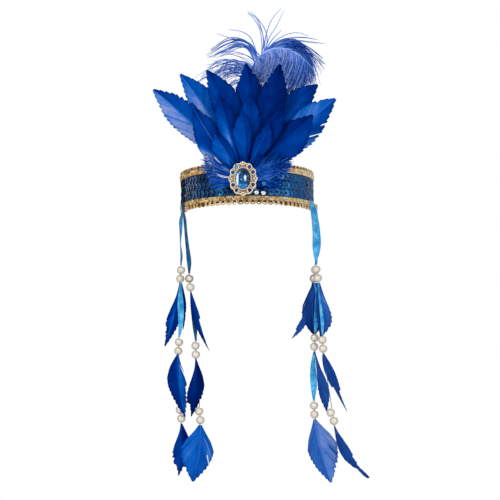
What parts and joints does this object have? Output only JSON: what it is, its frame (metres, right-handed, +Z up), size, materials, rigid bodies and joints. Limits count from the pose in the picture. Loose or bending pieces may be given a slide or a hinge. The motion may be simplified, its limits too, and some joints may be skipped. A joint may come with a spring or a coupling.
{
  "type": "feather headband",
  "caption": "Sequinned stage headband with gold braid, a fan of cut feathers and a curled plume behind an oval brooch, and hanging strands of ribbon, pearls and feathers.",
  "frame": {"origin": "middle of the head ring, level with the band's lower edge, where it sits on a head", "axes": "+Z up, -Y the way the wearer faces, +X to the right seen from the front"},
  "size_m": [0.2447, 0.2105, 0.5509],
  "materials": {
    "sequins": "cloth sewn with shiny teal sequins",
    "elastic": "navy woven elastic",
    "braid": "gold metallic braid",
    "feather": "dyed royal blue feather",
    "dark_feather": "dyed navy feather",
    "plume": "dyed periwinkle plume",
    "filigree": "polished rose gold",
    "stone": "foiled, faceted",
    "pearl": "pearl lustre",
    "cyan_ribbon": "satin",
    "teal_ribbon": "satin"
  },
  "bodies": {
    "root": {"sequin_band": "sequins", "back_elastic": "elastic", "braid_lower": "braid", "braid_upper": "braid", "fan_back_1": "feather", "fan_back_2": "feather", "fan_back_3": "feather", "fan_back_4": "feather", "fan_back_5": "feather", "fan_back_6": "feather", "fan_back_7": "feather", "fan_middle_1": "feather", "fan_middle_2": "feather", "fan_middle_3": "feather", "fan_middle_4": "feather", "fan_middle_5": "feather", "fan_front_1": "feather", "fan_front_2": "feather", "fan_front_3": "feather", "plume": "plume", "brooch_frame": "filigree", "brooch_stone": "stone", "pearls_left_outer_1": "pearl", "pearls_left_outer_2": "pearl", "pearls_left_outer_3": "pearl", "pearls_left_inner_1": "pearl", "pearls_left_inner_2": "pearl", "pearls_left_inner_3": "pearl", "pearls_right_inner_1": "pearl", "pearls_right_inner_2": "pearl", "pearls_right_inner_3": "pearl", "pearls_right_outer_1": "pearl", "pearls_right_outer_2": "pearl", "pearls_right_outer_3": "pearl", "ribbon_left_outer_1": "teal_ribbon", "ribbon_left_inner_1": "teal_ribbon", "ribbon_right_inner_1": "cyan_ribbon", "ribbon_right_outer_1": "cyan_ribbon", "ribbon_left_outer_2": "cyan_ribbon", "ribbon_left_inner_2": "teal_ribbon", "ribbon_right_inner_2": "cyan_ribbon", "ribbon_right_outer_2": "cyan_ribbon", "ribbon_right_inner_3": "cyan_ribbon", "feather_left_outer_1": "feather", "feather_left_outer_2": "dark_feather", "feather_left_outer_3": "feather", "feather_left_outer_4": "dark_feather", "feather_left_inner_1": "feather", "feather_left_inner_2": "dark_feather", "feather_left_inner_3": "feather", "feather_right_inner_1": "dark_feather", "feather_right_inner_2": "feather", "feather_right_inner_3": "feather", "feather_right_inner_4": "feather", "feather_right_outer_1": "feather", "feather_right_outer_2": "dark_feather", "feather_right_outer_3": "dark_feather"}
  },
  "joints": []
}
